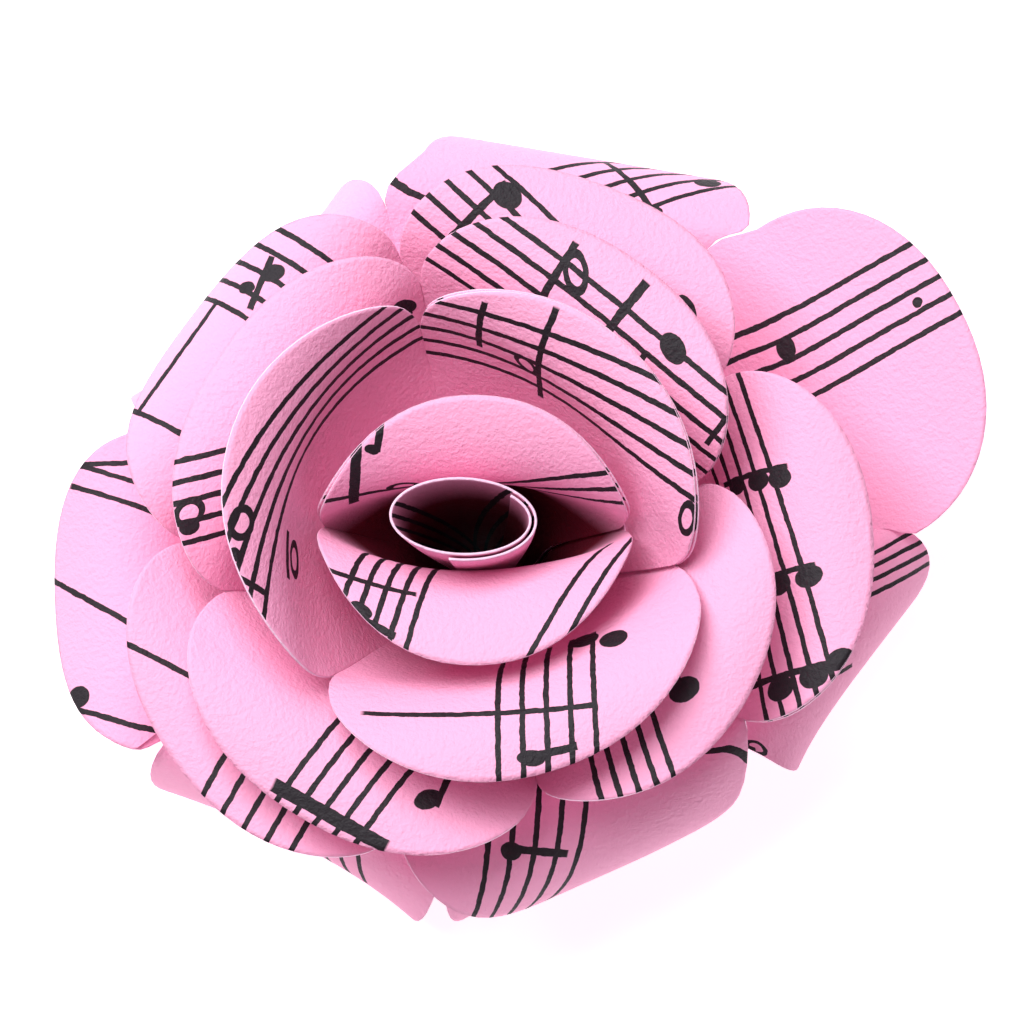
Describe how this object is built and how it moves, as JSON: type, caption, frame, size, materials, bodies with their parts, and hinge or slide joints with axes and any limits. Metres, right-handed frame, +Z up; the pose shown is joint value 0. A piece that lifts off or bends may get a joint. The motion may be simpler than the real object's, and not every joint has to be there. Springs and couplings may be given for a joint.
{
  "type": "paper flower",
  "caption": "Rolled paper rose: a flattened bud inside nested whorls of scalloped petals with curled edges, on a foot pressed flat.",
  "frame": {"origin": "middle of the outline, on the surface that the flower's foot rests on", "axes": "+Z up through the bud, +X to the right along the bud's flattened mouth, +Y to the back"},
  "size_m": [0.0958, 0.0842, 0.0495],
  "materials": {
    "petal_paper": "pink dyed cover paper, matt, printed with black music staves on the upper side"
  },
  "bodies": {
    "root": {"seven_petal_whorl": "petal_paper", "five_petal_whorl": "petal_paper", "four_petal_whorl": "petal_paper", "three_petal_whorl": "petal_paper", "two_petal_whorl": "petal_paper", "rolled_bud": "petal_paper"}
  },
  "joints": []
}
